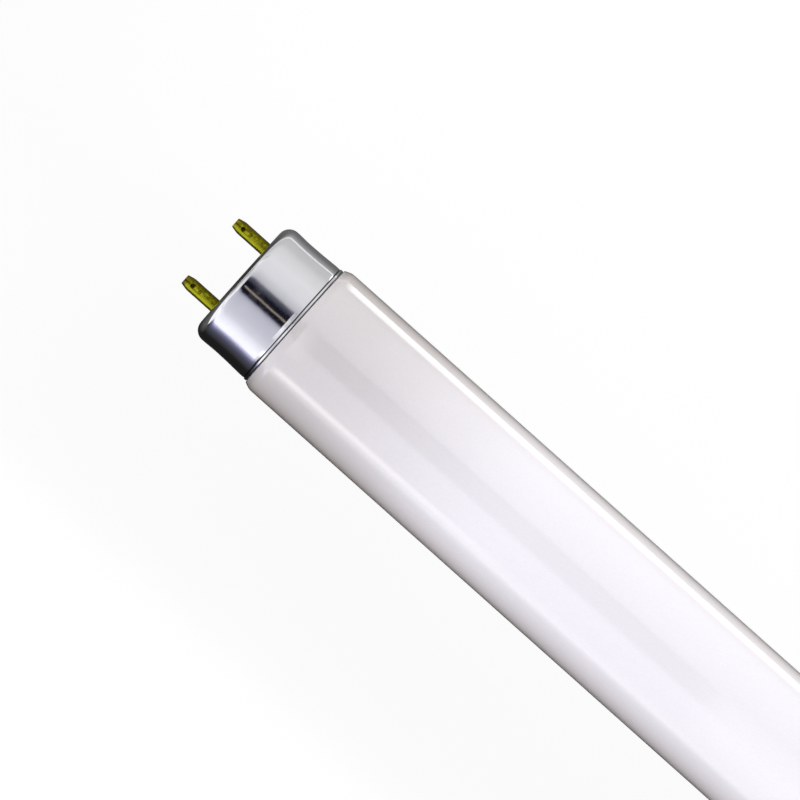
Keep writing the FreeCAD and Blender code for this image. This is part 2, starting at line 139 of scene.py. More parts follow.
def turned(outline, around, closed, end=1, middle=0.0):
    """Points, faces and normals of a skin turned about an axis along X.

    The point of the outline at a distance along and a radius goes to
    (end * (FACE - along), middle + radius * cos(angle), radius * sin(angle)) for each angle, and the
    order of a face's corners follows the end, so that faces point outwards at both.
    A closed outline makes a ring. An open one starts and ends on the axis, where one point closes it.
    """
    rings = outline if closed else outline[1:-1]
    angle = np.arange(around) * 2 * pi / around
    flat = np.zeros_like(angle)[None, :]
    along, radius, normal_along, normal_radius = (column[:, None] for column in rings.T)
    points = np.stack([
        end * (FACE - along) + flat, middle + radius * np.cos(angle), radius * np.sin(angle),
    ], axis=2).reshape(-1, 3)
    normals = np.stack([
        -end * normal_along + flat, normal_radius * np.cos(angle), normal_radius * np.sin(angle),
    ], axis=2).reshape(-1, 3)
    row = np.arange(len(rings) - (0 if closed else 1))[:, None] * around
    next_row = (row + around) % len(points)
    here = np.arange(around)[None, :]
    beside = (here + 1) % around
    quads = np.stack([row + here, row + beside, next_row + beside, next_row + here], axis=2).reshape(-1, 4)
    faces = quads[:, ::-end].tolist()
    if closed:
        return points, faces, normals
    last = len(points) - around
    start_pole = np.stack([here[0], np.full(around, len(points)), beside[0]], axis=1)
    end_pole = np.stack([last + here[0], last + beside[0], np.full(around, len(points) + 1)], axis=1)
    faces += start_pole[:, ::-end].tolist() + end_pole[:, ::-end].tolist()
    poles = outline[[0, -1]]
    pole_points = np.stack([end * (FACE - poles[:, 0]), [middle, middle], [0, 0]], axis=1)
    pole_normals = np.stack([-end * poles[:, 2], [0, 0], [0, 0]], axis=1)
    return np.vstack([points, pole_points]), faces, np.vstack([normals, pole_normals])


def add_piece(name, points, faces, normals=None):
    """A smooth mesh object from arrays, with its own normals if given."""
    mesh = bpy.data.meshes.new(name)
    mesh.from_pydata(points.tolist(), [], faces)
    mesh.shade_smooth()
    if normals is not None:
        mesh.normals_split_custom_set_from_vertices(normals.tolist())
    piece = bpy.data.objects.new(name, mesh)
    bpy.context.scene.collection.objects.link(piece)
    return piece


def new_material(name):
    """A new material and its empty node tree."""
    material = bpy.data.materials.new(name)
    material.use_nodes = True
    material.node_tree.nodes.clear()
    return material, material.node_tree


def add_node(tree, kind, sockets=None, **settings):
    """A node with its settings, each input either a plain value or another node's output."""
    made = tree.nodes.new("ShaderNode" + kind)
    for setting, value in settings.items():
        setattr(made, setting, value)
    for socket, value in (sockets or {}).items():
        if isinstance(value, bpy.types.NodeSocket):
            tree.links.new(value, made.inputs[socket])
        else:
            made.inputs[socket].default_value = value
    return made


def object_place(tree):
    """Object coordinates, on which every pattern of the lamp is laid."""
    return add_node(tree, "TexCoord").outputs["Object"]


def worked(tree, operation, *values):
    """A sum on numbers and masks: MULTIPLY_ADD is the first times the second, plus the third."""
    return add_node(tree, "Math", dict(enumerate(values)), operation=operation).outputs[0]


def ranged(tree, mask, low, high):
    """A mask of 0 to 1 carried over to the range from low to high."""
    return add_node(tree, "MapRange", {"Value": mask, "To Min": low, "To Max": high}).outputs[0]


def eased(tree, value, start, end):
    """0 up to the start, 1 past the end, and a smooth rise between them."""
    sockets = {"Value": value, "From Min": start, "From Max": end}
    return add_node(tree, "MapRange", sockets, interpolation_type="SMOOTHSTEP").outputs[0]


def blended(tree, share, first, second, blend="MIX"):
    """The first colour with a share of the second mixed in, or multiplied into it."""
    sockets = {0: share, 6: first, 7: second}
    return add_node(tree, "Mix", sockets, data_type="RGBA", blend_type=blend).outputs[2]


def relief(tree, height, strength, depth):
    """The normals of a surface that a height pattern raises by the depth."""
    return add_node(tree, "Bump", {"Height": height, "Strength": strength, "Distance": depth}).outputs[0]


def finish_tree(tree, shader, kind="Material"):
    """Links the shader to the output of a material or a world."""
    output = tree.nodes.new("ShaderNodeOutput" + kind)
    tree.links.new(shader.outputs[0], output.inputs["Surface"])


def surfaced(tree, sockets):
    """Ends a material's tree in a Principled shader with these inputs."""
    finish_tree(tree, add_node(tree, "BsdfPrincipled", sockets))


def new_group(name, inputs):
    """A shader node group with a place and these numbers as inputs and a mask as output."""
    group = bpy.data.node_groups.new(name, "ShaderNodeTree")
    group.interface.new_socket("Vector", in_out="INPUT", socket_type="NodeSocketVector")
    for socket in inputs:
        made = group.interface.new_socket(socket, in_out="INPUT", socket_type="NodeSocketFloat")
        made.default_value = 1.0
    group.interface.new_socket("Mask", in_out="OUTPUT", socket_type="NodeSocketFloat")
    return group, group.nodes.new("NodeGroupInput").outputs


def finish_group(group, noise, contrast):
    """Puts out noise about 0.5, spread by the contrast: (noise - 0.5) * contrast + 0.5."""
    centred = worked(group, "SUBTRACT", noise.outputs["Fac"], 0.5)
    mask = worked(group, "MULTIPLY_ADD", centred, contrast, 0.5)
    group.links.new(mask, group.nodes.new("NodeGroupOutput").inputs["Mask"])
    return group


def make_grain():
    """Grain: fine even noise of a given size, as of powder, moulded dust or smudges."""
    group, given = new_group("Grain", ["Size", "Contrast"])
    scale = worked(group, "DIVIDE", 1.0, given["Size"])
    noise = add_node(group, "TexNoise", {
        "Vector": given["Vector"], "Scale": scale, "Detail": 3.0, "Roughness": 0.65,
    })
    return finish_group(group, noise, given["Contrast"])


def make_streaks():
    """Streaks: noise with so many marks in a metre along X and across it, as of draw lines."""
    group, given = new_group("Streaks", ["Along", "Across", "Contrast"])
    scales = add_node(group, "CombineXYZ", {0: given["Along"], 1: given["Across"], 2: given["Across"]})
    sockets = {0: given["Vector"], 1: scales.outputs[0]}
    stretched = add_node(group, "VectorMath", sockets, operation="MULTIPLY")
    noise = add_node(group, "TexNoise", {"Vector": stretched.outputs[0], "Scale": 1.0, "Detail": 4.0})
    return finish_group(group, noise, given["Contrast"])


def use_group(tree, group, place, **values):
    """The mask of a group laid on a place in a material, with a value for each of its inputs."""
    made = tree.nodes.new("ShaderNodeGroup")
    made.node_tree = group
    tree.links.new(place, made.inputs["Vector"])
    for socket, value in values.items():
        made.inputs[socket].default_value = value
    return made.outputs["Mask"]


def grained(tree, place, size, contrast=1.0):
    """Grain laid on a place, with the size of its specks in metres."""
    return use_group(tree, grain, place, Size=size, Contrast=contrast)


def streaked(tree, place, along, across):
    """Streaks laid on a place, with their number in a metre along X and across it."""
    return use_group(tree, streaks, place, Along=along, Across=across, Contrast=1.0)


grain = make_grain()
streaks = make_streaks()

GLASS_MIDDLE = (0.93, 0.90, 0.945, 1)
# The next colour is painted shade: the powder darkened towards the caps.
GLASS_END_SHADE = (0.66, 0.625, 0.63, 1)
GLASS_EDGE = (0.80, 0.75, 0.68, 1)
EDGE_SLANT = 0.3
END_SHADE_FROM = 12 * MM
END_SHADE_TO = 60 * MM
CLOUD_SIZE = 9 * MM
CLOUD_REACH = 6 * MM
POWDER_SIZE = 0.35 * MM
POWDER_TONES = (0.93, 1.05)
DRAW_LINES = (4.0, 700.0)
ROLL_SIZE = 6 * MM
ROLL_HEIGHT = 3.0
GLASS_RELIEF = (0.15, 0.02 * MM)
GLASS_ROUGHNESS = (0.05, 0.09)


def make_white_glass():
    """Clear glass over white powder: two glass faces reflect, and painted shade greys the powder towards
    the ends.

    The glass tints the powder where it is seen through the wall at a slant.
    """
    material, tree = new_material("white_glass")
    place = object_place(tree)
    distance = worked(tree, "ABSOLUTE", add_node(tree, "SeparateXYZ", {0: place}).outputs["X"])
    cloud = grained(tree, place, CLOUD_SIZE)
    uneven = worked(tree, "MULTIPLY_ADD", cloud, CLOUD_REACH, distance)
    # Painted shade that greys the powder towards the ends, along an uneven edge.
    shade = eased(tree, uneven, FACE - END_SHADE_TO, FACE - END_SHADE_FROM)
    tone = blended(tree, shade, GLASS_MIDDLE, GLASS_END_SHADE)
    speckle = ranged(tree, grained(tree, place, POWDER_SIZE), *POWDER_TONES)
    powder = blended(tree, 1.0, tone, speckle, "MULTIPLY")
    facing = add_node(tree, "LayerWeight", {"Blend": 0.5}).outputs["Facing"]
    slant = add_node(tree, "MapRange", {"Value": facing, "From Min": EDGE_SLANT, "From Max": 1.0})
    drawn = streaked(tree, place, *DRAW_LINES)
    height = worked(tree, "MULTIPLY_ADD", grained(tree, place, ROLL_SIZE), ROLL_HEIGHT, drawn)
    surfaced(tree, {
        "Base Color": blended(tree, slant.outputs[0], powder, GLASS_EDGE, "MULTIPLY"),
        "Roughness": ranged(tree, cloud, *GLASS_ROUGHNESS), "IOR": 1.5, "Specular IOR Level": 1.0,
        "Coat Weight": 1.0, "Coat Roughness": 0.05, "Normal": relief(tree, height, *GLASS_RELIEF),
    })
    return material


bulb = BULB_END + [(2 * FACE - along, radius, size) for along, radius, size in BULB_END[::-1]]
outline = divided(rounded(bulb, closed=False), GLASS_STEP, closed=False)
glass_bulb = add_piece("glass_bulb", *turned(outline, SIDES, closed=False))
glass_bulb.data.materials.append(make_white_glass())
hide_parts("glass_tube")
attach(glass_bulb, "root")

# The caps are drawn cups of thin polished aluminium, cemented on the necks. Each has a rounded
# corner, a band round the insulator, a waist rolled in behind it, and a skirt that flares to a bead,
# a crease and a rim, which sits on the glass's shoulder.
SHEET = 0.3 * MM
OPENING = 8.945 * MM
CORNER = 2.1 * MM
BAND_RADIUS = 12.04 * MM
BAND_END = 2.7 * MM
WAIST = 4.9 * MM
WAIST_RADIUS = 11.95 * MM
SKIRT = 7.8 * MM
SKIRT_RADIUS = 12.0 * MM
CREASE = RIM - 0.64 * MM
CREASE_RADIUS = 12.05 * MM
BEAD = CREASE - 0.85 * MM
BEAD_RADIUS = 12.13 * MM
BEAD_END = CREASE - 0.2 * MM
BEAD_FALL = 0.016 * MM
LIP = CREASE + 0.1 * MM
RIM_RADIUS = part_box("cap_shell_left")[1].z
CAP_STEP = 1.0 * MM
ALUMINIUM = (0.86, 0.86, 0.885, 1)
SPIN_LINES = (9000.0, 60.0)
DENT_SIZE = 4 * MM
DENT_HEIGHT = 18.0
CAP_RELIEF = (0.2, 0.004 * MM)
SMUDGE_SIZE = 3 * MM
SMUDGE_CONTRAST = 1.6
SMUDGE_TONES = (1.0, 0.95)
CAP_ROUGHNESS = (0.06, 0.13)
# The next colour and numbers lay painted shade, a near black, in the crease and in the gap between rim and
# glass.
CREASE_SHADE = (0.02, 0.02, 0.025, 1)
CREASE_SHADE_AMOUNT = 0.95
CREASE_SHADE_FULL = 0.07 * MM
CREASE_SHADE_END = 0.17 * MM
RIM_GAP = RIM - 0.12 * MM
GAP_NARROWER = 0.04 * MM

# The outside of a cup, from its corner to its skirt, in rows of (distance, radius, rounding).
CUP_OUTSIDE = [
    (0.0, BAND_RADIUS, CORNER),
    (BAND_END, BAND_RADIUS, 20.0 * MM),
    (WAIST, WAIST_RADIUS, 20.0 * MM),
    (SKIRT, SKIRT_RADIUS, 40.0 * MM),
    (BEAD, BEAD_RADIUS, 5.0 * MM),
]
# The whole wall of the cup: its outside from the end face's opening to the rim, then its inside.
CUP_WALL = [
    (0.0, OPENING, 0.08 * MM),
    *CUP_OUTSIDE,
    (BEAD_END, BEAD_RADIUS - BEAD_FALL, 0.4 * MM),
    (CREASE, CREASE_RADIUS, 0.04 * MM),
    (LIP, RIM_RADIUS, 0.12 * MM),
    (RIM, RIM_RADIUS, 0.2 * MM),
    (RIM, RIM_RADIUS - SHEET, 0.05 * MM),
    (LIP, RIM_RADIUS - SHEET, 0.1 * MM),
    (CREASE, CREASE_RADIUS - SHEET, 0.1 * MM),
    *[(along, radius - SHEET, size) for along, radius, size in CUP_OUTSIDE[:0:-1]],
    (SHEET, BAND_RADIUS - SHEET, CORNER - SHEET),
    (SHEET, OPENING, 0.08 * MM),
]


def make_aluminium():
    """Polished sheet, with fine lines round it from spinning, soft smudges, and painted shade in two dark
    lines.

    The painted shade fades out with the distance from the crease, or from the gap between rim and glass.
    """
    material, tree = new_material("cap_aluminium")
    place = object_place(tree)
    dents = grained(tree, place, DENT_SIZE)
    height = worked(tree, "MULTIPLY_ADD", dents, DENT_HEIGHT, streaked(tree, place, *SPIN_LINES))
    smudge = grained(tree, place, SMUDGE_SIZE, SMUDGE_CONTRAST)
    colour = blended(tree, 1.0, ALUMINIUM, ranged(tree, smudge, *SMUDGE_TONES), "MULTIPLY")
    distance = worked(tree, "ABSOLUTE", add_node(tree, "SeparateXYZ", {0: place}).outputs["X"])
    off_crease = worked(tree, "ABSOLUTE", worked(tree, "SUBTRACT", distance, FACE - CREASE))
    off_gap = worked(tree, "ABSOLUTE", worked(tree, "SUBTRACT", distance, FACE - RIM_GAP))
    nearest = worked(tree, "MINIMUM", off_crease, worked(tree, "ADD", off_gap, GAP_NARROWER))
    # Painted shade, strongest at the crease and at the rim gap.
    crease_shade = add_node(tree, "MapRange", {
        "Value": nearest, "From Min": CREASE_SHADE_FULL, "From Max": CREASE_SHADE_END, "To Min": CREASE_SHADE_AMOUNT, "To Max": 0.0,
    })
    surfaced(tree, {
        "Base Color": blended(tree, crease_shade.outputs[0], colour, CREASE_SHADE), "Metallic": 1.0,
        "Roughness": ranged(tree, smudge, *CAP_ROUGHNESS), "Normal": relief(tree, height, *CAP_RELIEF),
    })
    return material


aluminium = make_aluminium()
outline = divided(rounded(CUP_WALL, closed=True), CAP_STEP, closed=True)
for name, end in ENDS.items():
    cap = add_piece(f"aluminium_cap_{name}", *turned(outline, SIDES, True, end))
    cap.data.materials.append(aluminium)
    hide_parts(f"cap_shell_{name}")
    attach(cap, "root")

# A brown moulded disc closes each cap behind its end face and carries the pins in two bosses. It is
# pressed from filled resin, with a dull shine and a faint mottle.
RESIN_DARK = (0.020, 0.010, 0.006, 1)
RESIN_LIGHT = (0.050, 0.026, 0.014, 1)
FILLER_SIZE = 0.5 * MM
FILLER_CONTRAST = 2.0
RESIN_RELIEF = (0.3, 0.02 * MM)


def make_resin():
    """Moulded brown resin with a mottle of its filler."""
    material, tree = new_material("moulded_insulator")
    place = object_place(tree)
    mottle = grained(tree, place, FILLER_SIZE, FILLER_CONTRAST)
    surfaced(tree, {
        "Base Color": blended(tree, mottle, RESIN_DARK, RESIN_LIGHT), "Roughness": 0.38,
        "Normal": relief(tree, mottle, *RESIN_RELIEF),
    })
    return material


def dress(node, material):
    """Gives a piece of the frame its finish."""
    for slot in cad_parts[node].material_slots:
        slot.material = material


resin = make_resin()
for name in ENDS:
    dress(f"insulator_{name}", resin)

# The contact pins are hollow brass, drawn in at the tip. A collar meets the insulator, the far end is
# riveted over behind it, and a crimp mark above and below grips the wire inside.
ROWS = {"front": -1, "back": 1}
TINY = 0.03 * MM
PIN_SPACING = 12.7 * MM
PIN_RADIUS = 1.2 * MM
PIN_LENGTH = 6.8 * MM
PIN_THICKNESS = 0.55 * MM
PIN_BORE = PIN_RADIUS - PIN_THICKNESS
TIP_RADIUS = 0.89 * MM
TIP_BORE = 0.35 * MM
TIP_BORE_END = -5.9 * MM
TAPER_FOOT = -5.5 * MM
COLLAR_RADIUS = 1.6 * MM
PIN_SEAT = 1.0 * MM
DISC_BACK = 3.1 * MM
RIVET_RADIUS = 1.9 * MM
RIVET_END = 3.6 * MM
PIN_SIDES = 144
PIN_ARC_STEP = radians(9)
SHOWN_STEP = 0.05 * MM
HIDDEN_STEP = 0.4 * MM

# The wall of a pin, in rows of (distance, radius, rounding). Distances are below 0 outside the cap.
PIN_WALL = [
    (-PIN_LENGTH, TIP_BORE, 0.05 * MM),
    (-PIN_LENGTH, TIP_RADIUS, 0.12 * MM),
    (TAPER_FOOT, PIN_RADIUS, 2.5 * MM),
    (0.0, PIN_RADIUS, 0.05 * MM),
    (0.0, COLLAR_RADIUS, 0.06 * MM),
    (SHEET, COLLAR_RADIUS, 0.03 * MM),
    (SHEET, PIN_SEAT, 0.03 * MM),
    (DISC_BACK, PIN_SEAT, 0.03 * MM),
    (DISC_BACK, RIVET_RADIUS, 0.1 * MM),
    (RIVET_END, RIVET_RADIUS, 0.25 * MM),
    (RIVET_END, PIN_BORE, 0.25 * MM),
    (TIP_BORE_END, PIN_BORE, 0.05 * MM),
    (TIP_BORE_END, TIP_BORE, 0.05 * MM),
]

# A crimp mark is a rounded oblong with sloping sides and the deeper dot of the punch near the tip.
CRIMP_FLOOR = 0.92 * MM
CRIMP_HALF = 0.3 * MM
CRIMP_NEAR = -5.3 * MM
CRIMP_FAR = -3.3 * MM
CRIMP_LEAN = tan(radians(62))
PUNCH_DEPTH = 0.12 * MM
PRESSED = 0.01 * MM
SLOPE_WIDTH = 0.12 * MM
# How dark the painted shade is on the crimp's slopes, in the punch's dot and in a spot at the floor's far
# end.
SLOPE_SHADE = 0.45
PUNCH_REACH = 0.52 * MM
PUNCH_FADE = 0.22 * MM
PUNCH_SHADE = 0.95
DOT_REACH = 0.3 * MM
DOT_FADE = 0.15 * MM
DOT_SHADE = 0.6

BRASS_LIGHT = (0.57, 0.57, 0.03, 1)
BRASS_DULL = (0.36, 0.35, 0.01, 1)
# The next colour is painted shade, laid down the back side of each pin.
BRASS_BACK_SHADE = (0.11, 0.095, 0.003, 1)
BRASS_BROWN = (0.17, 0.12, 0.015, 1)
# The colour of the crimp marks' painted shade.
CRIMP_SHADE_COLOUR = (0.03, 0.02, 0.003, 1)
MOTTLE_SIZE = 0.55 * MM
MOTTLE_CONTRAST = 1.6
PIN_LINES = (400.0, 5000.0)
# Where the painted shade down the pins' backs starts and ends, and how far its edge wanders.
BACK_SHADE_WANDER = 1.2 * MM
BACK_SHADE_FROM = 0.1 * MM
BACK_SHADE_TO = 1.5 * MM
BROWN_WANDER = 0.8 * MM
BROWN_FROM = FACE + PIN_LENGTH - 0.7 * MM
BROWN_TO = FACE + PIN_LENGTH + 0.3 * MM
BROWN_FRONT = 1.0
BROWN_BACK = 0.3
BRASS_ROUGHNESS = (0.22, 0.38)
BRASS_RELIEF = (0.5, 0.03 * MM)


def crimped(points, along, middle):
    """The pin's points with the crimp marks pressed in, and the painted shade that lies on each point.

    The height of a point off the pin's middle plane is held below that of the mark's floor plus the
    distance from the floor's rounded oblong, times the slope of the mark's sides. The punch's dot is
    a deeper cone of the same slope. Painted shade lies on the slopes, in the dot, and in a spot at the
    other end of the floor, and the last two fade out with the distance from their middles.
    """
    across = points[:, 1] - middle
    reach = (CRIMP_FAR - CRIMP_NEAR) / 2 - CRIMP_HALF
    past = np.maximum(np.abs(along - (CRIMP_NEAR + CRIMP_FAR) / 2) - reach, 0)
    oblong = np.maximum(np.hypot(past, across) - CRIMP_HALF, 0)
    pit = np.hypot(along - CRIMP_NEAR - CRIMP_HALF, across)
    floor = CRIMP_FLOOR + oblong * CRIMP_LEAN
    deeper = CRIMP_FLOOR - PUNCH_DEPTH + np.maximum(pit - CRIMP_HALF / 2, 0) * CRIMP_LEAN
    ceiling = np.where(along < -TINY, np.minimum(floor, deeper), np.inf)
    outside = np.hypot(across, points[:, 2]) > PIN_BORE + TINY
    held = np.clip(points[:, 2], -ceiling, ceiling)
    pressed = np.where(outside, np.abs(points[:, 2] - held), 0)
    points[:, 2] = np.where(outside, held, points[:, 2])
    far_end = np.hypot(along - CRIMP_FAR + CRIMP_HALF, across)
    slope = np.where((oblong > 0) & (oblong < SLOPE_WIDTH), SLOPE_SHADE, 0)
    hollow = PUNCH_SHADE * np.clip((PUNCH_REACH - pit) / PUNCH_FADE, 0, 1)
    dot = DOT_SHADE * np.clip((DOT_REACH - far_end) / DOT_FADE, 0, 1)
    crimp_shade = np.maximum(np.maximum(slope, dot), hollow)
    return points, np.where((pressed > PRESSED) | (pit < PUNCH_REACH), crimp_shade, 0)


def make_brass():
    """Drawn brass, greenish yellow, with painted shade down its back and in its marks, browned at its tip.

    The painted shade on the back depends on how far behind the pin's middle a point is, and the brown
    on how near the tip. Both edges wander with the mottle.
    """
    material, tree = new_material("pin_brass")
    place = object_place(tree)
    parts = add_node(tree, "SeparateXYZ", {0: place}).outputs
    row = worked(tree, "SIGN", parts["Y"])
    across = worked(tree, "SUBTRACT", parts["Y"], worked(tree, "MULTIPLY", row, PIN_SPACING / 2))
    mottle = grained(tree, place, MOTTLE_SIZE, MOTTLE_CONTRAST)
    clean = blended(tree, streaked(tree, place, *PIN_LINES), BRASS_LIGHT, BRASS_DULL)
    # Painted shade down the back side of each pin.
    back_shade = eased(tree, worked(tree, "MULTIPLY_ADD", mottle, BACK_SHADE_WANDER, across), BACK_SHADE_FROM, BACK_SHADE_TO)
    back_shaded = blended(tree, back_shade, clean, BRASS_BACK_SHADE)
    distance = worked(tree, "ABSOLUTE", parts["X"])
    heat = worked(tree, "MULTIPLY_ADD", mottle, BROWN_WANDER, distance)
    amount = add_node(tree, "MapRange", {
        "Value": row, "From Min": -1.0, "To Min": BROWN_FRONT, "To Max": BROWN_BACK,
    })
    browned = worked(tree, "MULTIPLY", eased(tree, heat, BROWN_FROM, BROWN_TO), amount.outputs[0])
    tip = blended(tree, browned, back_shaded, BRASS_BROWN)
    # The crimp marks' painted shade, kept on the pin's points.
    crimp_shade = add_node(tree, "Attribute", attribute_name="crimp_shade").outputs["Fac"]
    surfaced(tree, {
        "Base Color": blended(tree, crimp_shade, tip, CRIMP_SHADE_COLOUR), "Metallic": 1.0,
        "Roughness": ranged(tree, mottle, *BRASS_ROUGHNESS), "Normal": relief(tree, mottle, *BRASS_RELIEF),
    })
    return material


brass = make_brass()
outline = rounded(PIN_WALL, closed=True, step=PIN_ARC_STEP)
shown = (outline[:, 0] < SHEET - TINY) & (outline[:, 1] > PIN_BORE + TINY)
outline = divided(outline, np.where(shown, SHOWN_STEP, HIDDEN_STEP), closed=True)
for name, end in ENDS.items():
    for row, across in ROWS.items():
        middle = across * PIN_SPACING / 2
        points, faces = turned(outline, PIN_SIDES, True, end, middle)[:2]
        # The crimp marks come with their painted shade, kept as a point attribute.
        points, crimp_shade = crimped(points, FACE - points[:, 0] * end, middle)
        pin = add_piece(f"brass_pin_{name}_{row}", points, faces)
        pin.data.materials.append(brass)
        pin.data.attributes.new("crimp_shade", "FLOAT", "POINT").data.foreach_set("value", crimp_shade)
        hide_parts(f"pin_{name}_{row}")
        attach(pin, "root")

# The lead wires run from the pins' ends back to the stem. They are thin plated iron, and only their
# cut ends show in the mouths of the pins.
WIRE_BRIGHT = (0.62, 0.56, 0.50, 1)
WIRE_DULL = (0.36, 0.28, 0.22, 1)
PATCH_SIZE = 0.3 * MM
PATCH_CONTRAST = 2.0
WIRE_ROUGHNESS = (0.3, 0.5)


def make_wire_metal():
    """Plated wire, dulled in patches."""
    material, tree = new_material("lead_wire")
    place = object_place(tree)
    dull = grained(tree, place, PATCH_SIZE, PATCH_CONTRAST)
    surfaced(tree, {
        "Base Color": blended(tree, dull, WIRE_BRIGHT, WIRE_DULL), "Metallic": 1.0,
        "Roughness": ranged(tree, dull, *WIRE_ROUGHNESS),
    })
    return material


wire_metal = make_wire_metal()
for name in ENDS:
    for row in ROWS:
        dress(f"lead_wire_{name}_{row}", wire_metal)

# A ring of baked cement fills each cap's skirt and holds it on the neck. It is tan and gritty, and
# the cap hides it.
CEMENT_LIGHT = (0.42, 0.30, 0.16, 1)
CEMENT_DARK = (0.24, 0.16, 0.08, 1)
GRIT_SIZE = 0.4 * MM
GRIT_CONTRAST = 2.0
CEMENT_RELIEF = (0.6, 0.1 * MM)


def make_cement():
    """Baked cement, tan and gritty."""
    material, tree = new_material("cap_cement")
    place = object_place(tree)
    grit = grained(tree, place, GRIT_SIZE, GRIT_CONTRAST)
    surfaced(tree, {
        "Base Color": blended(tree, grit, CEMENT_LIGHT, CEMENT_DARK), "Roughness": 0.85,
        "Normal": relief(tree, grit, *CEMENT_RELIEF),
    })
    return material


cement = make_cement()
for name in ENDS:
    dress(f"cement_ring_{name}", cement)

# The camera looks straight down on the left end, turned so that the lamp runs to the lower right.
# It stands well back, so the tube's two edges stay parallel.
VIEW_TURN = radians(41.745)
VIEW_MIDDLE = Vector((-0.26093, 0.002515, 0.0))
VIEW_WIDTH = 0.13398
CAMERA_HEIGHT = 4.0
SENSOR = 36.0
FURTHEST_SEEN = 10.0

lens = bpy.data.cameras.new("camera")
lens.sensor_width = SENSOR
lens.lens = SENSOR * CAMERA_HEIGHT / VIEW_WIDTH
lens.clip_end = FURTHEST_SEEN
camera = bpy.data.objects.new("camera", lens)
camera.location = VIEW_MIDDLE + Vector((0, 0, CAMERA_HEIGHT))
camera.rotation_euler = (0, 0, VIEW_TURN)
bpy.context.scene.collection.objects.link(camera)
bpy.context.scene.camera = camera

# The studio has a white floor below the lamp and four soft lamps over it. Cards round the lamp give
# the bands that its glass and metal mirror, and neither the camera nor a shadow shows them. They
# glow by themselves, and are white fabric, dark flags and thin bright strips.
FLOOR_DEPTH = 0.06
FLOOR_HALF = 4.0
FLOOR_COLOUR = (0.9, 0.9, 0.9, 1)
FLOOR_GLOW = 0.9
FLOOR_FAINT = (0.22, 0.22, 0.22, 1)
WHITE = (1, 1, 1, 1)


def make_floor():
    """A white floor: mostly its own white to the camera, metal and glass, with the lamp's shadow."""
    material, tree = new_material("pale_floor")
    path = add_node(tree, "LightPath").outputs
    mirrored = worked(tree, "MAXIMUM", path["Is Camera Ray"], path["Is Glossy Ray"])
    seen = worked(tree, "MAXIMUM", mirrored, path["Is Transmission Ray"])
    own = add_node(tree, "Emission", {"Color": WHITE, "Strength": FLOOR_GLOW})
    faint = add_node(tree, "BsdfDiffuse", {"Color": FLOOR_FAINT})
    bright = add_node(tree, "AddShader", {0: own.outputs[0], 1: faint.outputs[0]})
    plain = add_node(tree, "BsdfDiffuse", {"Color": FLOOR_COLOUR})
    finish_tree(tree, add_node(tree, "MixShader", {0: seen, 1: plain.outputs[0], 2: bright.outputs[0]}))
    return material


def add_sheet(name, points, faces, material):
    """A stage sheet from points and faces."""
    mesh = bpy.data.meshes.new(name)
    mesh.from_pydata(points, [], faces)
    mesh.materials.append(material)
    sheet = bpy.data.objects.new(name, mesh)
    bpy.context.scene.collection.objects.link(sheet)
    return sheet


def add_card(name, start, end, section, far_section=None):
    """A card that hangs along the lamp from one x to another, and gives off its own colour.

    Its section is rows of (y, z, red, green, blue), and the colour blends from one row to the next,
    and from one end's section to the far end's if that has its own.
    """
    material, tree = new_material(name)
    shade = add_node(tree, "Attribute", attribute_name="shade").outputs["Color"]
    finish_tree(tree, add_node(tree, "Emission", {"Color": shade, "Strength": 1.0}))
    rows = np.array([section, far_section or section], float)
    count = rows.shape[1]
    points = np.zeros((2, count, 3))
    points[0, :, 0], points[1, :, 0] = start, end
    points[:, :, 1:] = rows[:, :, :2]
    first = np.arange(count - 1)
    faces = np.stack([first, first + 1, first + 1 + count, first + count], axis=1)
    card = add_sheet(name, points.reshape(-1, 3).tolist(), faces.tolist(), material)
    colours = np.ones((2, count, 4))
    colours[:, :, :3] = rows[:, :, 2:]
    card.data.attributes.new("shade", "FLOAT_COLOR", "POINT").data.foreach_set("color", colours.ravel())
    card.visible_camera = False
    card.visible_shadow = False


def add_softbox(name, place, aim, width, height, brightness):
    """A soft lamp that nothing mirrors, aimed at a point, with a brightness at which 1 looks white."""
    light = bpy.data.lights.new(name, "AREA")
    light.shape = "RECTANGLE"
    light.size = width
    light.size_y = height
    light.energy = brightness * pi * width * height
    lamp = bpy.data.objects.new(name, light)
    lamp.location = place
    lamp.rotation_euler = (Vector(aim) - Vector(place)).to_track_quat("-Z", "Y").to_euler()
    lamp.visible_camera = False
    lamp.visible_glossy = False
    bpy.context.scene.collection.objects.link(lamp)


TENT_RADIUS = 0.5
TENT_START = -1.7
TENT_END = 0.9
CARD_START = -0.9
CAP_CARD_START = -0.33
FLAG_START = -0.93
FLAG_END = -0.18
GLASS_START = -FACE + RIM + 1 * MM
STRIP_START = GLASS_START + 2.0 * MM
STRIP_BEND = -0.235
STRIP_END = 0.1
STRIP_EDGE = 0.62
FRONT_STRIP_END = -0.23
BEND_END = -0.31
LOW_BEND = -0.34
BELOW_BEND = -0.36
WINDOW_START = -0.2836
WINDOW_END = -0.277
GLINT_START = -0.3015
GLINT_END = -0.2965
GLINT_HALF = 0.004
GLINT_PEAK = 0.0005
WALL_HALF = 0.8
FRONT = -0.07
BELOW = -0.055
ABOVE = 0.07
OVER_RIM = 0.068
OVER_PIN = 0.0115


def coloured(grey, tint):
    """A grey with less red and green than blue, by the tint as a share."""
    return grey * (1 - tint), grey * (1 - tint), grey


def over_lamp(stops):
    """Rows of a card that arches over the lamp, from (degrees from straight up to the front, grey, tint).

    A row lies at (-radius * sin(angle), radius * cos(angle)), with the radius of the tent.
    """
    rows = []
    for angle, grey, tint in stops:
        turn = radians(angle)
        rows.append((-TENT_RADIUS * sin(turn), TENT_RADIUS * cos(turn), *coloured(grey, tint)))
    return rows


def beside_lamp(stops, tint=0.0):
    """Rows of a card beside the lamp or near the floor, from (y, z, grey)."""
    return [(y, z, *coloured(grey, tint)) for y, z, grey in stops]


